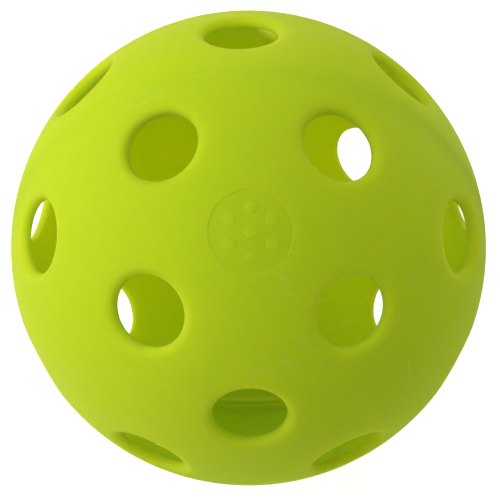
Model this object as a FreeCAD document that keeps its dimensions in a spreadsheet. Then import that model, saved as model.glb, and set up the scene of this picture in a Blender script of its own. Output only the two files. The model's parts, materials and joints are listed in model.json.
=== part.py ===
import FreeCAD, Part
import math
import os
import Sketcher

# Indoor pickleball ball: two moulded half shells with thirteen holes each, welded rim to rim.
#
# Frame: origin at the ball's centre, +Z up. The pole axis runs along Y, so the weld lies in the
# XZ plane. The front half is on the -Y side and the rear half is on the +Y side.
# Both halves come from the same hole layout. Each is drawn as it leaves its mould, with its pole
# on its own +Z and its rim near Z = 0, and its Placement turns it into the ball's frame.

# Millimetres and degrees.
DIMENSIONS = {
    "ball_diameter": "74",
    "wall": "1.75",
    "hole_diameter": "11.2",
    "rim_round": "1",
    "inner_ring_angle": "36",
    "inner_ring_start": "45",
    "inner_ring_count": "4",
    "outer_ring_angle": "72",
    "outer_ring_start": "22.5",
    "outer_ring_count": "8",
    "half_twist": "24.6",
    "weld_width": "0.4",
    "weld_recess": "0.05",
    "flange_height": "3.3",
    "flange_thickness": "0.5",
    "flange_slope": "0.8",
    "flange_root": "0.5",
}

CENTRE = FreeCAD.Vector(0, 0, 0)
UP = FreeCAD.Vector(0, 0, 1)
QUARTER_TURN = FreeCAD.Rotation(FreeCAD.Vector(1, 0, 0), 90)

# Sketcher's own numbers for its origin point, its two axes and the points of an element.
ORIGIN = (-1, 1)
HORIZONTAL_AXIS, VERTICAL_AXIS = -1, -2
START, END, MIDDLE = 1, 2, 3


def make_sheet(doc):
    """The spreadsheet of driving dimensions, one alias each."""
    sheet = doc.addObject("Spreadsheet::Sheet", "dims")
    for row, (alias, value) in enumerate(DIMENSIONS.items(), start=1):
        sheet.set(f"A{row}", alias)
        sheet.set(f"B{row}", value)
        sheet.setAlias(f"B{row}", alias)
    doc.recompute()
    return sheet


def origin_feature(body, role):
    """One of a body's own origin planes or axes."""
    return next(feature for feature in body.Origin.OriginFeatures if feature.Role == role)


def add_sketch(body, name, plane_role):
    sketch = body.newObject("Sketcher::SketchObject", name)
    sketch.AttachmentSupport = [(origin_feature(body, plane_role), "")]
    sketch.MapMode = "FlatFace"
    return sketch


def drawn_size(sketch, kind, operands):
    """What a dimension measures on the geometry as it was drawn."""
    if kind == "Radius":
        return sketch.Geometry[operands[0]].Radius
    if kind == "Diameter":
        return 2 * sketch.Geometry[operands[0]].Radius
    step = sketch.getPoint(*operands[2:]) - sketch.getPoint(*operands[:2])
    return step.x if kind == "DistanceX" else step.y


def constrain(sketch, kind, *operands, size=None):
    """One constraint. A size is an expression on the spreadsheet, in place of a plain number."""
    if size is None:
        sketch.addConstraint(Sketcher.Constraint(kind, *operands))
        return
    drawn = drawn_size(sketch, kind, operands)
    index = sketch.addConstraint(Sketcher.Constraint(kind, *operands, drawn))
    sketch.setExpression(f"Constraints[{index}]", size)


def join_ends(sketch, *pairs):
    for first, first_point, second, second_point in pairs:
        constrain(sketch, "Coincident", first, first_point, second, second_point)


def arc(radius, low_angle, high_angle):
    return Part.ArcOfCircle(Part.Circle(CENTRE, UP, radius), low_angle, high_angle)


def add_revolution(body, name, sketch):
    """A full turn of a section about the pole axis, which is its sketch's vertical axis."""
    revolution = body.newObject("PartDesign::Revolution", name)
    revolution.Profile = sketch
    revolution.ReferenceAxis = (sketch, ["V_Axis"])
    revolution.Angle = 360
    return revolution


def add_shell(body, sheet):
    """The plain half shell: a quarter ring from the rim to the pole, turned about the pole axis."""
    outside = sheet.ball_diameter / 2
    inside = outside - sheet.wall
    rim = sheet.weld_width / 2
    sketch = add_sketch(body, "wall_section", "XZ_Plane")
    outer_arc, inner_arc, rim_line, pole_line = sketch.addGeometry(
        [
            arc(outside, math.asin(rim / outside), math.pi / 2),
            arc(inside, math.asin(rim / inside), math.pi / 2),
            Part.LineSegment(FreeCAD.Vector(inside, rim, 0), FreeCAD.Vector(outside, rim, 0)),
            Part.LineSegment(FreeCAD.Vector(0, outside, 0), FreeCAD.Vector(0, inside, 0)),
        ],
        False,
    )
    join_ends(
        sketch,
        (outer_arc, MIDDLE, *ORIGIN),
        (inner_arc, MIDDLE, *ORIGIN),
        (rim_line, START, inner_arc, START),
        (rim_line, END, outer_arc, START),
        (pole_line, START, outer_arc, END),
        (pole_line, END, inner_arc, END),
    )
    constrain(sketch, "Horizontal", rim_line)
    constrain(sketch, "PointOnObject", outer_arc, END, VERTICAL_AXIS)
    constrain(sketch, "PointOnObject", inner_arc, END, VERTICAL_AXIS)
    constrain(sketch, "Radius", outer_arc, size="dims.ball_diameter / 2")
    constrain(sketch, "Radius", inner_arc, size="dims.ball_diameter / 2 - dims.wall")
    constrain(sketch, "DistanceY", *ORIGIN, rim_line, START, size="dims.weld_width / 2")
    return add_revolution(body, "shell", sketch)


def add_flange(body, sheet):
    """The raised band inside the rim that widens the welded face. Its top slopes into the wall."""
    lip = sheet.ball_diameter / 2 - sheet.wall - sheet.flange_thickness
    root = lip + sheet.flange_thickness + sheet.flange_root
    rim = sheet.weld_width / 2
    top = sheet.flange_height
    corners = [
        FreeCAD.Vector(lip, rim, 0),
        FreeCAD.Vector(root, rim, 0),
        FreeCAD.Vector(root, top + sheet.flange_slope, 0),
        FreeCAD.Vector(lip, top, 0),
    ]
    sketch = add_sketch(body, "flange_section", "XZ_Plane")
    rim_line, root_line, slope_line, lip_line = sketch.addGeometry(
        [Part.LineSegment(a, b) for a, b in zip(corners, corners[1:] + corners[:1])], False
    )
    join_ends(
        sketch,
        (rim_line, END, root_line, START),
        (root_line, END, slope_line, START),
        (slope_line, END, lip_line, START),
        (lip_line, END, rim_line, START),
    )
    constrain(sketch, "Horizontal", rim_line)
    constrain(sketch, "Vertical", root_line)
    constrain(sketch, "Vertical", lip_line)
    inside = "dims.ball_diameter / 2 - dims.wall"
    top_of_root = "dims.flange_height + dims.flange_slope"
    constrain(sketch, "DistanceX", *ORIGIN, rim_line, START, size=f"{inside} - dims.flange_thickness")
    constrain(sketch, "DistanceX", *ORIGIN, root_line, START, size=f"{inside} + dims.flange_root")
    constrain(sketch, "DistanceY", *ORIGIN, rim_line, START, size="dims.weld_width / 2")
    constrain(sketch, "DistanceY", *ORIGIN, lip_line, START, size="dims.flange_height")
    constrain(sketch, "DistanceY", *ORIGIN, slope_line, START, size=top_of_root)
    return add_revolution(body, "weld_flange", sketch)


def add_hole(body, name, angle_from_pole="0", angle_about_pole="0"):
    """One round hole, bored outwards along a radius of the ball."""
    sketch = add_sketch(body, f"{name}_circle", "XY_Plane")
    (circle,) = sketch.addGeometry([Part.Circle(CENTRE, UP, 1)], False)
    join_ends(sketch, (circle, MIDDLE, *ORIGIN))
    constrain(sketch, "Diameter", circle, size="dims.hole_diameter")
    sketch.setExpression(".AttachmentOffset.Rotation.Yaw", angle_about_pole)
    sketch.setExpression(".AttachmentOffset.Rotation.Pitch", angle_from_pole)
    pocket = body.newObject("PartDesign::Pocket", name)
    pocket.Profile = sketch
    pocket.Reversed = True
    pocket.setExpression("Length", "dims.ball_diameter / 2 + dims.wall")
    return pocket


def add_hole_ring(body, name):
    """A ring of equal holes about the pole axis, at one angle from the pole."""
    hole = add_hole(body, f"{name}_hole", f"dims.{name}_angle", f"dims.{name}_start")
    ring = body.newObject("PartDesign::PolarPattern", name)
    ring.Originals = [hole]
    ring.Axis = (origin_feature(body, "Z_Axis"), [""])
    ring.Angle = 360
    ring.setExpression("Occurrences", f"dims.{name}_count")
    body.Tip = ring
    return ring


def hole_rims(shape, ball_radius, hole_radius):
    """The names of the circles in which the holes meet the outside of the ball."""
    names = []
    for number, edge in enumerate(shape.Edges, start=1):
        curve = edge.Curve
        is_hole = isinstance(curve, Part.Circle) and abs(curve.Radius - hole_radius) < 1e-3
        if is_hole and abs(edge.Vertexes[0].Point.Length - ball_radius) < 1e-3:
            names.append(f"Edge{number}")
    return names


def add_rounded_rims(body, sheet, pierced):
    """The soft rounding of every hole on the outside. On the inside the rims stay sharp."""
    rims = body.newObject("PartDesign::Fillet", "rounded_rims")
    rims.Base = (pierced, hole_rims(pierced.Shape, sheet.ball_diameter / 2, sheet.hole_diameter / 2))
    rims.setExpression("Radius", "dims.rim_round")
    body.Tip = rims


def make_half(doc, sheet, label, placement, has_flange=False):
    """One moulded half: shell, weld flange on the half that has it, and thirteen rounded holes."""
    body = doc.addObject("PartDesign::Body", label)
    body.Label = label
    add_shell(body, sheet)
    if has_flange:
        add_flange(body, sheet)
    add_hole(body, "pole_hole")
    add_hole_ring(body, "inner_ring")
    pierced = add_hole_ring(body, "outer_ring")
    doc.recompute()
    add_rounded_rims(body, sheet, pierced)
    body.Placement = placement
    return body


def make_weld_bead(doc, sheet, placement):
    """The ring of fused plastic between the rims: just under flush outside, rounded inside."""
    body = doc.addObject("PartDesign::Body", "weld_bead")
    body.Label = "weld_bead"
    half_width = sheet.weld_width / 2
    outside = sheet.ball_diameter / 2 - sheet.weld_recess
    inside = sheet.ball_diameter / 2 - sheet.wall - sheet.flange_thickness
    inner_end = Part.Circle(FreeCAD.Vector(inside, 0, 0), UP, half_width)
    sketch = add_sketch(body, "bead_section", "XZ_Plane")
    lower_line, outer_line, upper_line, inner_arc = sketch.addGeometry(
        [
            Part.LineSegment(
                FreeCAD.Vector(inside, -half_width, 0), FreeCAD.Vector(outside, -half_width, 0)
            ),
            Part.LineSegment(
                FreeCAD.Vector(outside, -half_width, 0), FreeCAD.Vector(outside, half_width, 0)
            ),
            Part.LineSegment(
                FreeCAD.Vector(outside, half_width, 0), FreeCAD.Vector(inside, half_width, 0)
            ),
            Part.ArcOfCircle(inner_end, math.pi / 2, 3 * math.pi / 2),
        ],
        False,
    )
    join_ends(
        sketch,
        (lower_line, END, outer_line, START),
        (outer_line, END, upper_line, START),
    )
    constrain(sketch, "Tangent", upper_line, END, inner_arc, START)
    constrain(sketch, "Tangent", inner_arc, END, lower_line, START)
    constrain(sketch, "Horizontal", lower_line)
    constrain(sketch, "Horizontal", upper_line)
    constrain(sketch, "Symmetric", outer_line, START, outer_line, END, HORIZONTAL_AXIS)
    bead_outside = "dims.ball_diameter / 2 - dims.weld_recess"
    bead_inside = "dims.ball_diameter / 2 - dims.wall - dims.flange_thickness"
    constrain(sketch, "DistanceX", *ORIGIN, outer_line, START, size=bead_outside)
    constrain(sketch, "DistanceX", *ORIGIN, inner_arc, MIDDLE, size=bead_inside)
    constrain(sketch, "DistanceY", outer_line, START, outer_line, END, size="dims.weld_width")
    add_revolution(body, "bead", sketch)
    body.Placement = placement
    return body


def check(doc, bodies):
    """Stops if any feature has failed or any sub-part isn't one closed, valid solid."""
    for item in doc.Objects:
        if "Invalid" in item.State or "Error" in item.State:
            raise RuntimeError(f"{item.Label} failed: {item.State}")
    for body in bodies:
        shape = body.Shape
        if shape.isNull() or not shape.isValid() or len(shape.Solids) != 1:
            raise RuntimeError(f"{body.Label} isn't one valid solid")


def main():
    doc = FreeCAD.newDocument("pickleball")
    sheet = make_sheet(doc)
    facing_front = FreeCAD.Placement(CENTRE, QUARTER_TURN)
    twist = FreeCAD.Rotation(UP, -sheet.half_twist)
    facing_rear = FreeCAD.Placement(CENTRE, QUARTER_TURN.inverted() * twist)
    bodies = [
        make_half(doc, sheet, "front_half", facing_front),
        make_half(doc, sheet, "rear_half", facing_rear, has_flange=True),
        make_weld_bead(doc, sheet, facing_front),
    ]
    doc.recompute()
    check(doc, bodies)
    os.makedirs("parts", exist_ok=True)
    for body in bodies:
        body.Shape.exportStep(f"parts/{body.Label}.step")
        print(f"{body.Label}: {body.Shape.Volume / 1000:.3f} cm3")


main()
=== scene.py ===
import json
import math

import bpy
import numpy as np
from mathutils import Matrix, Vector
from mathutils.geometry import delaunay_2d_cdt


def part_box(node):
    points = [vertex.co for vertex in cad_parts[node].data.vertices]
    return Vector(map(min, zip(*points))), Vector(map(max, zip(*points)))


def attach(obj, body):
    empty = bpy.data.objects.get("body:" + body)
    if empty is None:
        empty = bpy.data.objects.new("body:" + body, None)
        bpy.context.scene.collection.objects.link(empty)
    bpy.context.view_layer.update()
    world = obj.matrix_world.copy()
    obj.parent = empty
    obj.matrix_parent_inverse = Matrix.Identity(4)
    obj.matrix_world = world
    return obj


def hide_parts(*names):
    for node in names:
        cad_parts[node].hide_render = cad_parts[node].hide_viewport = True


# A 26-hole indoor pickleball: two moulded half shells of lime polyethylene and the weld between them.
#
# Metres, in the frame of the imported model: the ball's centre is at the origin, +Z is up, and the two
# poles are on the Y axis. Each half is built as it leaves its mould, with its pole on its own +Z and
# its rim near Z = 0, and is then turned to its side of the ball.

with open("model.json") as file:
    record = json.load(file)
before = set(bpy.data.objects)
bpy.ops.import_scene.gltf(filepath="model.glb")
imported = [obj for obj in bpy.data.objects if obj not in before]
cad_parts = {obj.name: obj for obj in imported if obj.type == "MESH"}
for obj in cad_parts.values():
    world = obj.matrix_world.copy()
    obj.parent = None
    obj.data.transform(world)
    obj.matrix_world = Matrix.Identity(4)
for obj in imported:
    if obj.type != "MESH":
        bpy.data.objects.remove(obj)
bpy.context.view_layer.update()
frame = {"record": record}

MM = 0.001
front_low, front_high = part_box("front_half")
BALL_RADIUS = (front_high.x - front_low.x) / 2
HOLE_RADIUS = frame["record"]["mounts"][0]["dims"]["r_mm"] * MM
WALL = 1.75 * MM
INNER_RADIUS = BALL_RADIUS - WALL

# Rings of holes round a pole: degrees from it, degrees to the first hole, number of holes.
HOLE_RINGS = ((36, 45, 4), (72, 22.5, 8))
REAR_TWIST = 24.6

# The rounding of a hole's rim: how far it reaches over the outside and down the bore.
RIM_REACH = 1.7 * MM
RIM_DROP = 1.4 * MM
INNER_EDGE = 0.12 * MM

WELD_HALF_WIDTH = 0.2 * MM
WELD_RECESS = 0.012 * MM
SEAM_EDGE = 0.06 * MM
FLANGE_DEPTH = 0.5 * MM
FLANGE_LOW, FLANGE_HIGH = 3.0 * MM, 3.9 * MM

OUTER_SPACING = 0.8 * MM
INNER_SPACING = 1.1 * MM
HOLE_STEPS = 96
SEAM_STEPS = 360
GOLDEN_ANGLE = math.pi * (3 - math.sqrt(5))

# The moulded mark: a shallow round panel with seven raised dots.
MARK_POLAR, MARK_AZIMUTH = 47.6, 90
MARK_RADIUS = 6.3 * MM
MARK_DEPTH = 0.15 * MM
MARK_EDGE = 0.16 * MM
DOT_RADIUS = 0.95 * MM
DOT_RING = 3.7 * MM
DOTS_IN_RING = 6

# The plastic: its tone, the same a shade deeper in clouds, and a lighter tone for rubbed streaks and for
# painted glints on its pits.
LIME = ((0.63, 0.90, 0.02), (0.605, 0.88, 0.018), (0.85, 1.0, 0.20))
FUSED_LIME = ((0.62, 0.89, 0.02), (0.59, 0.87, 0.018), (0.83, 0.98, 0.18))
# Painted light on the opaque plastic beside the weld: colour factors, lighter on the inside, that stand in
# for the light the translucent plastic round it carries.
SEAM_PAINTED_LIGHT_OUTSIDE = (1.0, 0.92, 1, 1)
SEAM_PAINTED_LIGHT_INSIDE = (1.5, 1.1, 1.5, 1)
# It is fully opaque up to the first distance from the weld, and fully translucent from the others.
OPAQUE_REACH = 0.3 * MM
CLEAR_INSIDE, CLEAR_OUTSIDE = 2.2 * MM, 4.5 * MM
LIGHT_REACH = 9 * MM
PIT_SPACING, PIT_RADIUS = 0.8 * MM, 0.17 * MM

FLOOR_REACH = 3.0
FLOOR_GLOW = 0.09
FLOOR_WHITE = 0.9

# A plain soft studio: name, azimuth and elevation in degrees, watts.
# The photo is brightest at the upper left and falls off evenly to the lower right.
LAMP_DISTANCE = 1.0
LAMP_SIZE = 0.7
LAMPS = (
    ("key", -60, 45, 3.0),
    ("overhead", 0, 80, 3.0),
    ("left_fill", -90, 20, 4.0),
    ("right_fill", 120, 10, 2.5),
    ("back", 180, 20, 2.0),
)

CAMERA_AZIMUTH, CAMERA_ELEVATION, CAMERA_ROLL = -0.72, 43.95, 0.54
CAMERA_DISTANCE = 14.59 * BALL_RADIUS
CAMERA_LENS = 249.1
CAMERA_SHIFT_X, CAMERA_SHIFT_Y = 0.0030, -0.0043


# ---- Points on a sphere ----


def direction(polar, azimuth):
    """The unit vector at these angles from and about the pole, in degrees."""
    p, a = math.radians(polar), math.radians(azimuth)
    return np.array([math.sin(p) * math.cos(a), math.sin(p) * math.sin(a), math.cos(p)])


def unit(vectors):
    return vectors / np.linalg.norm(vectors, axis=-1, keepdims=True)


def across(axis):
    """Two directions that make a right-handed set with this one."""
    helper = np.array([1.0, 0, 0]) if abs(axis[2]) > 0.9 else np.array([0, 0, 1.0])
    first = unit(np.cross(helper, axis))
    return first, np.cross(axis, first)


def circle(axis, radius, height, steps):
    """Points round an axis through the centre, at this radius and height along it."""
    turn = np.arange(steps)[:, None] * 2 * math.pi / steps
    first, second = across(axis)
    return radius * (np.cos(turn) * first + np.sin(turn) * second) + height * axis


def even_directions(spacing, sphere):
    """Directions spread evenly over the pole's half of a sphere."""
    count = round(2 * math.pi * sphere**2 / (spacing**2 * math.sqrt(3) / 2))
    order = np.arange(count)
    height = 1 - (order + 0.5) / count
    ring = np.sqrt(1 - height**2)
    turn = order * GOLDEN_ANGLE
    return np.stack([ring * np.cos(turn), ring * np.sin(turn), height], axis=1)


def beyond(directions, axis, radius, sphere):
    """Which directions lie outside the circle of this radius about an axis."""
    return directions @ axis < math.sqrt(1 - (radius / sphere) ** 2)


HOLE_AXES = [direction(0, 0)] + [
    direction(polar, start + 360 * k / count)
    for polar, start, count in HOLE_RINGS
    for k in range(count)
]


# ---- Meshes ----


class Shell:
    """A mesh made patch by patch. Patches share the vertices along their common edges, and each
    brings its own normals, so that an edge between two of them is as sharp as their normals say."""

    def __init__(self):
        self.points = []
        self.faces = []
        self.normals = []

    def add(self, points):
        first = len(self.points)
        self.points.extend(points)
        return np.arange(first, len(self.points))

    def patch(self, ids, normals, faces):
        for face in faces:
            self.faces.append([int(ids[i]) for i in face])
            self.normals.extend(normals[i] for i in face)

    def band(self, rows, normals):
        """Quads between closed rows of vertices, in order, with one set of normals for each row."""
        steps = len(rows[0])
        ids = np.concatenate(rows)
        faces = []
        for r in range(len(rows) - 1):
            for c in range(steps):
                here, there = r * steps + c, r * steps + (c + 1) % steps
                faces.append((here, there, there + steps, here + steps))
        self.patch(ids, np.concatenate(normals), faces)

    def make(self, name, turn):
        mesh = bpy.data.meshes.new(name)
        mesh.from_pydata([tuple(turn @ p) for p in self.points], [], self.faces)
        mesh.polygons.foreach_set("use_smooth", [True] * len(mesh.polygons))
        mesh.normals_split_custom_set([tuple(turn @ n) for n in self.normals])
        mesh.update()
        piece = bpy.data.objects.new(name, mesh)
        bpy.context.scene.collection.objects.link(piece)
        return piece


def flatten(directions):
    """Seen from the far pole, so that circles stay circles and triangles keep their quality."""
    return directions[:, :2] / (1 + directions[:, 2:])


def triangulate(loops, free):
    """Triangles over the sphere between closed loops, of which the first is the outer one."""
    owner = np.concatenate([np.full(len(p), k) for k, p in enumerate(loops)] + [np.full(len(free), -1)])
    flat = flatten(unit(np.concatenate(loops + [free])))
    edges = []
    first = 0
    for loop in loops:
        edges += [(first + i, first + (i + 1) % len(loop)) for i in range(len(loop))]
        first += len(loop)
    found = delaunay_2d_cdt([tuple(p) for p in flat], edges, [], 0, 1e-9)
    if len(found[0]) != len(flat):
        raise RuntimeError("two points of the shell fall on each other")
    triangles = np.array(found[2])
    same = (owner[triangles] == owner[triangles[:, :1]]).all(axis=1)
    in_hole = same & (owner[triangles[:, 0]] > 0)
    return triangles[~in_hole]


def corner(start, control, end, steps):
    """A quarter ellipse in a section plane, tangent to both legs of its control polygon."""
    u = np.linspace(0, math.pi / 2, steps)[:, None]
    points = control + (start - control) * (1 - np.sin(u)) + (end - control) * (1 - np.cos(u))
    tangents = (control - start) * np.cos(u) + (end - control) * np.sin(u)
    normals = unit(np.stack([tangents[:, 1], -tangents[:, 0]], axis=1))
    return points, normals


def sphere_tangent(radius, reach, sphere):
    """Where a sphere's tangent, drawn at this distance from the hole's axis, meets the bore's line."""
    height = math.sqrt(sphere**2 - reach**2)
    return np.array([reach, height]), np.array([radius, height + (reach - radius) * reach / height])


def rim_section():
    """The section of a hole from the outside of the ball to its inside: points and normals."""
    start, control = sphere_tangent(HOLE_RADIUS, HOLE_RADIUS + RIM_REACH, BALL_RADIUS)
    wall_top = control - (0, RIM_DROP)
    outer, outer_normals = corner(start, control, wall_top, 14)
    end, control = sphere_tangent(HOLE_RADIUS, HOLE_RADIUS + INNER_EDGE, INNER_RADIUS)
    wall_foot = control + (0, INNER_EDGE)
    inner, inner_normals = corner(wall_foot, control, end, 5)
    wall = np.linspace(wall_top, wall_foot, 5)[1:-1]
    wall_normals = np.tile((-1.0, 0), (len(wall), 1))
    points = np.concatenate([outer, wall, inner])
    return points, np.concatenate([outer_normals, wall_normals, inner_normals])


def mark_height(points):
    """How far the moulded mark lifts the surface at these points of the sphere. Never above it."""
    axis = direction(MARK_POLAR, MARK_AZIMUTH)
    first, second = across(axis)
    flat = np.stack([points @ first, points @ second], axis=1)
    facing = points @ axis > 0

    def inside(centre, radius):
        distance = np.linalg.norm(flat - centre, axis=1)
        share = np.clip((radius - distance) / MARK_EDGE + 0.5, 0, 1)
        return share * share * (3 - 2 * share)

    panel = inside(np.zeros(2), MARK_RADIUS)
    dots = sum(inside(centre, DOT_RADIUS) for centre in dot_centres())
    return -MARK_DEPTH * panel * (1 - dots) * facing


def dot_centres():
    turn = np.arange(DOTS_IN_RING) * 2 * math.pi / DOTS_IN_RING + math.pi / 2
    ring = [DOT_RING * np.array([math.cos(a), math.sin(a)]) for a in turn]
    return [np.zeros(2)] + ring


def mark_directions():
    """Rows of points along the edges of the moulded mark, close enough to draw its steps."""
    axis = direction(MARK_POLAR, MARK_AZIMUTH)
    first, second = across(axis)
    rows = []
    for centre, radius in [(np.zeros(2), MARK_RADIUS)] + [(c, DOT_RADIUS) for c in dot_centres()]:
        steps = round(2 * math.pi * radius / (0.16 * MM))
        turn = np.arange(steps) * 2 * math.pi / steps
        for offset in np.linspace(-0.6, 0.6, 7) * MARK_EDGE:
            flat = centre + (radius + offset) * np.stack([np.cos(turn), np.sin(turn)], axis=1)
            height = np.sqrt(BALL_RADIUS**2 - (flat**2).sum(axis=1))
            rows.append(flat[:, :1] * first + flat[:, 1:] * second + height[:, None] * axis)
    return unit(np.concatenate(rows))


def near_mark_edge(directions):
    """Which directions are close to an edge of the moulded mark, where it has its own points."""
    axis = direction(MARK_POLAR, MARK_AZIMUTH)
    first, second = across(axis)
    points = directions * BALL_RADIUS
    flat = np.stack([points @ first, points @ second], axis=1)
    close = np.zeros(len(points), bool)
    for centre, radius in [(np.zeros(2), MARK_RADIUS)] + [(c, DOT_RADIUS) for c in dot_centres()]:
        away = np.abs(np.linalg.norm(flat - centre, axis=1) - radius)
        close |= away < MARK_EDGE + 0.25 * MM
    return close & (points @ axis > 0)


def relief(directions, height):
    """Points and normals of a sphere whose surface is lifted by a height function."""
    nudge = 0.02 * MM
    points = directions * BALL_RADIUS
    lift = height(points)
    normals = directions.copy()
    uneven = np.abs(lift) > 0
    for k in np.flatnonzero(uneven | near_mark_edge(directions)):
        first, second = across(directions[k])
        around = points[k] + nudge * np.array([first, -first, second, -second])
        near = height(around)
        slope = (near[0] - near[1]) * first + (near[2] - near[3]) * second
        normals[k] = unit(directions[k] - slope / (2 * nudge))
    return directions * (BALL_RADIUS + lift)[:, None], normals


def add_sphere(shell, sphere, loops, spacing, outward, height=None):
    """The smooth part of the wall between its edge and its holes. Loops are rows already added."""
    borders = [np.array([shell.points[i] for i in loop]) for loop in loops]
    free = even_directions(spacing, sphere)
    gap = spacing * 0.6
    edge = borders[0][0][2] + gap
    keep = free[:, 2] * sphere > edge
    for axis, border in zip(HOLE_AXES, borders[1:]):
        radius = np.linalg.norm(border[0] - axis * (border[0] @ axis))
        keep &= beyond(free, axis, radius + gap, sphere)
    if height:
        keep &= ~near_mark_edge(free)
    free = free[keep]
    if height:
        free = np.concatenate([free, mark_directions()])
        points, normals = relief(free, height)
    else:
        points, normals = free * sphere, free
    ids = np.concatenate(loops + [shell.add(points)])
    faces = triangulate(borders, free)
    all_normals = np.concatenate([unit(b) for b in borders] + [normals])
    if not outward:
        faces = faces[:, ::-1]
        all_normals = -all_normals
    shell.patch(ids, all_normals, faces)


def add_hole(shell, axis, section, normals):
    """The rounded rim, the bore and the inner edge of one hole. Gives back its two end rows."""
    first, second = across(axis)
    rows = [shell.add(circle(axis, rho, h, HOLE_STEPS)) for rho, h in section]
    turned = [circle(axis, n_rho, n_h, HOLE_STEPS) for n_rho, n_h in normals]
    shell.band(rows, turned)
    return rows[0], rows[-1]


def add_turned(shell, section, normals, first_row=None):
    """A surface of revolution about the pole axis, whose section keeps the plastic on its left."""
    pole = direction(0, 0)
    rows = [shell.add(circle(pole, rho, z, SEAM_STEPS)) for rho, z in section]
    if first_row is not None:
        rows = [first_row] + rows
    turned = [circle(pole, n_rho, n_z, SEAM_STEPS) for n_rho, n_z in normals]
    shell.band(rows, turned)
    return rows


def flange_section():
    """The band inside the rear half's rim, from where it leaves the wall down to the weld."""
    z = np.concatenate([np.linspace(FLANGE_HIGH, FLANGE_LOW, 14), [1.5 * MM, WELD_HALF_WIDTH]])

    def radius(z):
        share = np.clip((z - FLANGE_LOW) / (FLANGE_HIGH - FLANGE_LOW), 0, 1)
        share = share * share * (3 - 2 * share)
        return (INNER_RADIUS - FLANGE_DEPTH) * (1 - share) + np.sqrt(INNER_RADIUS**2 - z**2) * share

    step = 0.01 * MM
    slope = (radius(z + step) - radius(z - step)) / (2 * step)
    normals = unit(np.stack([-np.ones_like(z), slope], axis=1))
    return np.stack([radius(z), z], axis=1), normals


def rim_of_half(inside):
    """The welded face of a half, from this radius out, and the small round at its outer edge."""
    seam_top = WELD_HALF_WIDTH + SEAM_EDGE
    end = np.array([math.sqrt(BALL_RADIUS**2 - seam_top**2), seam_top])
    control = np.array([math.sqrt(BALL_RADIUS**2 - WELD_HALF_WIDTH**2), WELD_HALF_WIDTH])
    edge, edge_normals = corner(control - (SEAM_EDGE, 0), control, end, 5)
    section = np.concatenate([[[inside, WELD_HALF_WIDTH]], edge])
    return section, np.concatenate([[[0, -1]], edge_normals])


def make_half(name, turn, has_mark=False, has_flange=False):
    shell = Shell()
    if has_flange:
        section, normals = flange_section()
        flange = add_turned(shell, section, normals)
        section, normals = rim_of_half(section[-1][0])
        rim = add_turned(shell, section[1:], normals, flange[-1])
        inner_row = flange[0]
    else:
        section, normals = rim_of_half(math.sqrt(INNER_RADIUS**2 - WELD_HALF_WIDTH**2))
        rim = add_turned(shell, section, normals)
        inner_row = rim[0]
    section, normals = rim_section()
    ends = [add_hole(shell, axis, section, normals) for axis in HOLE_AXES]
    height = mark_height if has_mark else None
    add_sphere(shell, BALL_RADIUS, [rim[-1]] + [e[0] for e in ends], OUTER_SPACING, True, height)
    add_sphere(shell, INNER_RADIUS, [inner_row] + [e[1] for e in ends], INNER_SPACING, False)
    return shell.make(name, turn)


def make_weld(name, turn):
    """The ring of fused plastic: a low crown outside, a rounded bead inside."""
    shell = Shell()
    half = WELD_HALF_WIDTH
    outside = BALL_RADIUS - WELD_RECESS
    inside = INNER_RADIUS - FLANGE_DEPTH
    crown = np.linspace(-1, 1, 7)
    outer = np.stack([outside - 0.1 * half * crown**2, crown * half], axis=1)
    outer_normals = unit(np.stack([np.ones(7), 0.2 * crown], axis=1))
    around = np.linspace(math.pi / 2, 3 * math.pi / 2, 9)
    inner = np.stack([inside + half * np.cos(around), half * np.sin(around)], axis=1)
    inner_normals = np.stack([np.cos(around), np.sin(around)], axis=1)
    outer_rows = add_turned(shell, outer, outer_normals)
    inner_rows = add_turned(shell, inner, inner_normals)
    pole = direction(0, 0)
    upward = circle(pole, 0, 1, SEAM_STEPS)
    shell.band([outer_rows[-1], inner_rows[0]], [upward, upward])
    shell.band([inner_rows[-1], outer_rows[0]], [-upward, -upward])
    return shell.make(name, turn)


# ---- Materials ----


def link_in(tree, node, socket, value):
    """Puts a value on a socket: a number or colour directly, another node's output by a link."""
    if isinstance(value, bpy.types.NodeSocket):
        tree.links.new(value, node.inputs[socket])
    else:
        node.inputs[socket].default_value = value


def noise(tree, place, scale, detail=2.0, distortion=0.0):
    node = tree.nodes.new("ShaderNodeTexNoise")
    link_in(tree, node, "Vector", place)
    link_in(tree, node, "Scale", scale)
    link_in(tree, node, "Detail", detail)
    link_in(tree, node, "Distortion", distortion)
    return node.outputs["Fac"]


def remap(tree, value, low, high, to_low, to_high):
    """The value moved from the range low..high to the range to_low..to_high, and held inside it."""
    node = tree.nodes.new("ShaderNodeMapRange")
    link_in(tree, node, "Value", value)
    link_in(tree, node, "From Min", low)
    link_in(tree, node, "From Max", high)
    link_in(tree, node, "To Min", to_low)
    link_in(tree, node, "To Max", to_high)
    return node.outputs["Result"]


def combine(tree, operation, first, second):
    node = tree.nodes.new("ShaderNodeMath")
    node.operation = operation
    link_in(tree, node, 0, first)
    link_in(tree, node, 1, second)
    return node.outputs[0]


def blend(tree, amount, first, second):
    node = tree.nodes.new("ShaderNodeMix")
    node.data_type = "RGBA"
    link_in(tree, node, 0, amount)
    link_in(tree, node, 6, first)
    link_in(tree, node, 7, second)
    return node.outputs[2]


def bump(tree, height, depth, normal=None):
    node = tree.nodes.new("ShaderNodeBump")
    link_in(tree, node, "Distance", depth)
    link_in(tree, node, "Height", height)
    if normal is not None:
        link_in(tree, node, "Normal", normal)
    return node.outputs["Normal"]


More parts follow.
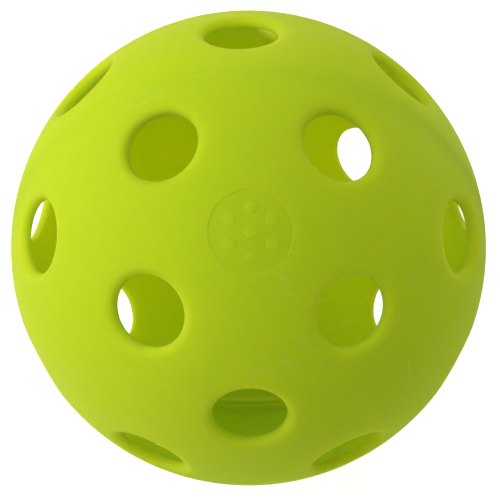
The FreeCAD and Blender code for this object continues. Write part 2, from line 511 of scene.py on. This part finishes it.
def pits(tree, place, spacing, radius):
    """One at the middle of scattered small pits, zero between them; they lie in patches."""
    cells = tree.nodes.new("ShaderNodeTexVoronoi")
    link_in(tree, cells, "Vector", place)
    link_in(tree, cells, "Scale", 1 / spacing)
    spots = remap(tree, cells.outputs["Distance"], 0.4 * radius / spacing, radius / spacing, 1, 0)
    patches = remap(tree, noise(tree, place, 150, 3), 0.60, 0.66, 0, 1)
    return combine(tree, "MULTIPLY", spots, patches)


def scuffs(tree, place):
    """Faint rubbed streaks, from a noise pulled out along one direction."""
    stretch = tree.nodes.new("ShaderNodeMapping")
    link_in(tree, stretch, "Vector", place)
    stretch.inputs["Rotation"].default_value = (0.5, 0.9, 0.4)
    stretch.inputs["Scale"].default_value = (1, 9, 1)
    streaks = remap(tree, noise(tree, stretch.outputs["Vector"], 160, 3, 0.3), 0.6, 0.72, 0, 1)
    places = remap(tree, noise(tree, place, 45, 1), 0.5, 0.62, 0, 1)
    return combine(tree, "MULTIPLY", streaks, places)


def away_from_seam(tree, place, outside):
    """Zero at the weld and one from a few millimetres off it, sooner on the inside of the wall."""
    parts = tree.nodes.new("ShaderNodeSeparateXYZ")
    link_in(tree, parts, "Vector", place)
    distance = combine(tree, "ABSOLUTE", parts.outputs["Y"], 0.0)
    reach = remap(tree, outside, 0, 1, CLEAR_INSIDE, CLEAR_OUTSIDE)
    rise = remap(tree, distance, OPAQUE_REACH, reach, 0, 1)
    rise.node.interpolation_type = "SMOOTHSTEP"
    return rise


def polyethylene(name, tone, deep, worn_and_glint):
    """Pigmented polyethylene: soft light inside, a satin skin with fine texture, pits whose lighter colour
    is a painted glint, and scuffs.

    Near the weld the plastic is shaded as opaque, because light inside it stops at a piece's end; there its
    colour is multiplied by painted light that stands in for the light the translucent plastic carries."""
    material = bpy.data.materials.new(name)
    material.use_nodes = True
    tree = material.node_tree
    shader = tree.nodes["Principled BSDF"]
    place = tree.nodes.new("ShaderNodeTexCoord").outputs["Object"]

    pit_glint_mask = pits(tree, place, PIT_SPACING, PIT_RADIUS)
    scuffed = scuffs(tree, place)
    clouds = remap(tree, noise(tree, place, 60, 3), 0.3, 0.7, 0, 1)
    grain = remap(tree, noise(tree, place, 900, 2), 0.3, 0.7, -0.5, 0.5)

    colour = blend(tree, clouds, (*tone, 1), (*deep, 1))
    colour = blend(tree, combine(tree, "MULTIPLY", scuffed, 0.25), colour, (*worn_and_glint, 1))
    # Painted glints: the pits are lightened to paint the sparkle of light on them; their bump below is the
    # real pits.
    colour = blend(tree, combine(tree, "MULTIPLY", pit_glint_mask, 0.45), colour, (*worn_and_glint, 1))
    radius = tree.nodes.new("ShaderNodeVectorMath")
    radius.operation = "LENGTH"
    link_in(tree, radius, 0, place)
    outside = remap(tree, radius.outputs["Value"], INNER_RADIUS, BALL_RADIUS, 0, 1)
    clear = away_from_seam(tree, place, outside)
    seam_painted_light_mix = tree.nodes.new("ShaderNodeMix")
    seam_painted_light_mix.data_type = "RGBA"
    seam_painted_light_mix.blend_type = "MULTIPLY"
    link_in(tree, seam_painted_light_mix, 0, 1.0)
    link_in(tree, seam_painted_light_mix, 6, colour)
    # Painted light: near the weld the colour is lightened on the inside and made a little less green on the
    # outside, standing in for the light the translucent plastic carries.
    tint = blend(tree, outside, SEAM_PAINTED_LIGHT_INSIDE, SEAM_PAINTED_LIGHT_OUTSIDE)
    link_in(tree, seam_painted_light_mix, 7, blend(tree, clear, tint, (1, 1, 1, 1)))
    link_in(tree, shader, "Base Color", seam_painted_light_mix.outputs[2])

    satin = remap(tree, noise(tree, place, 240, 3), 0.3, 0.7, 0.52, 0.64)
    rubbed = combine(tree, "ADD", satin, combine(tree, "MULTIPLY", scuffed, 0.12))
    link_in(tree, shader, "Roughness", rubbed)

    normal = bump(tree, noise(tree, place, 130, 2), 0.03 * MM)
    normal = bump(tree, grain, 0.006 * MM, normal)
    normal = bump(tree, combine(tree, "MULTIPLY", pit_glint_mask, -1.0), 0.02 * MM, normal)
    link_in(tree, shader, "Normal", normal)

    link_in(tree, shader, "Subsurface Weight", clear)
    link_in(tree, shader, "Subsurface Radius", (1.0, 0.8, 0.3))
    link_in(tree, shader, "Subsurface Scale", LIGHT_REACH)
    link_in(tree, shader, "IOR", 1.51)
    link_in(tree, shader, "Specular IOR Level", 0.06)
    link_in(tree, shader, "Specular Tint", (0.9, 1, 0.3, 1))
    return material


# ---- Stage ----


def make_floor():
    """A pale light table: it glows softly on the ball, and the camera sees it as plain white."""
    low = front_low.z
    far = FLOOR_REACH
    corners = [(-far, -far, low), (far, -far, low), (far, far, low), (-far, far, low)]
    mesh = bpy.data.meshes.new("floor")
    mesh.from_pydata(corners, [], [(0, 1, 2, 3)])
    floor = bpy.data.objects.new("floor", mesh)
    bpy.context.scene.collection.objects.link(floor)
    material = bpy.data.materials.new("floor_white")
    material.use_nodes = True
    tree = material.node_tree
    tree.nodes.clear()
    output = tree.nodes.new("ShaderNodeOutputMaterial")
    add = tree.nodes.new("ShaderNodeAddShader")
    paper = tree.nodes.new("ShaderNodeBsdfDiffuse")
    paper.inputs["Color"].default_value = (0.8, 0.8, 0.8, 1)
    glow = tree.nodes.new("ShaderNodeEmission")
    seen = tree.nodes.new("ShaderNodeLightPath").outputs["Is Camera Ray"]
    link_in(tree, glow, "Strength", remap(tree, seen, 0, 1, FLOOR_GLOW, FLOOR_WHITE))
    link_in(tree, add, 0, paper.outputs[0])
    link_in(tree, add, 1, glow.outputs[0])
    link_in(tree, output, "Surface", add.outputs[0])
    mesh.materials.append(material)


def aim(azimuth, elevation, roll=0.0):
    """The turn of a camera or lamp that looks at the ball from these angles, in degrees."""
    a, e = math.radians(azimuth), math.radians(elevation)
    back = np.array([math.sin(a) * math.cos(e), -math.cos(a) * math.cos(e), math.sin(e)])
    right = np.array([math.cos(a), math.sin(a), 0])
    up = np.cross(back, right)
    turn = Matrix(np.stack([right, up, back], axis=1).tolist()) @ Matrix.Rotation(math.radians(roll), 3, "Z")
    return turn, back


def make_lamp(name, azimuth, elevation, energy):
    turn, back = aim(azimuth, elevation)
    data = bpy.data.lights.new(name, "AREA")
    data.shape = "DISK"
    data.size = LAMP_SIZE
    data.energy = energy
    lamp = bpy.data.objects.new(name, data)
    lamp.matrix_world = Matrix.Translation((back * LAMP_DISTANCE).tolist()) @ turn.to_4x4()
    bpy.context.scene.collection.objects.link(lamp)
    return lamp


def make_camera():
    turn, back = aim(CAMERA_AZIMUTH, CAMERA_ELEVATION, CAMERA_ROLL)
    data = bpy.data.cameras.new("camera")
    data.sensor_width = 36
    data.lens = CAMERA_LENS
    data.shift_x = CAMERA_SHIFT_X
    data.shift_y = CAMERA_SHIFT_Y
    data.clip_start = 0.05
    camera = bpy.data.objects.new("camera", data)
    camera.matrix_world = Matrix.Translation((back * CAMERA_DISTANCE).tolist()) @ turn.to_4x4()
    bpy.context.scene.collection.objects.link(camera)
    bpy.context.scene.camera = camera


def make_world():
    """A white room behind the light table, which adds hardly any light of its own."""
    world = bpy.data.worlds.new("studio")
    world.use_nodes = True
    tree = world.node_tree
    background = tree.nodes["Background"]
    link_in(tree, background, "Color", (1, 1, 1, 1))
    seen = tree.nodes.new("ShaderNodeLightPath").outputs["Is Camera Ray"]
    link_in(tree, background, "Strength", remap(tree, seen, 0, 1, 0.01, 1.0))
    bpy.context.scene.world = world


QUARTER_TURN = np.array(Matrix.Rotation(math.pi / 2, 3, "X"))
TWIST = np.array(Matrix.Rotation(math.radians(-REAR_TWIST), 3, "Z"))

front = make_half("front_half_shell", QUARTER_TURN, has_mark=True)
rear = make_half("rear_half_shell", QUARTER_TURN.T @ TWIST, has_flange=True)
weld = make_weld("weld_ring", QUARTER_TURN)

shell_plastic = polyethylene("lime_polyethylene", *LIME)
weld_plastic = polyethylene("fused_polyethylene", *FUSED_LIME)
for piece, node, slot, material in (
    (front, "front_half", "shell", shell_plastic),
    (rear, "rear_half", "shell", shell_plastic),
    (weld, "weld_bead", "weld", weld_plastic),
):
    piece.data.materials.append(material)
    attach(piece, "root")
    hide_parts(node)

make_floor()
for name, azimuth, elevation, energy in LAMPS:
    make_lamp(name, azimuth, elevation, energy)
make_world()
make_camera()
bpy.context.scene.view_settings.view_transform = "Standard"
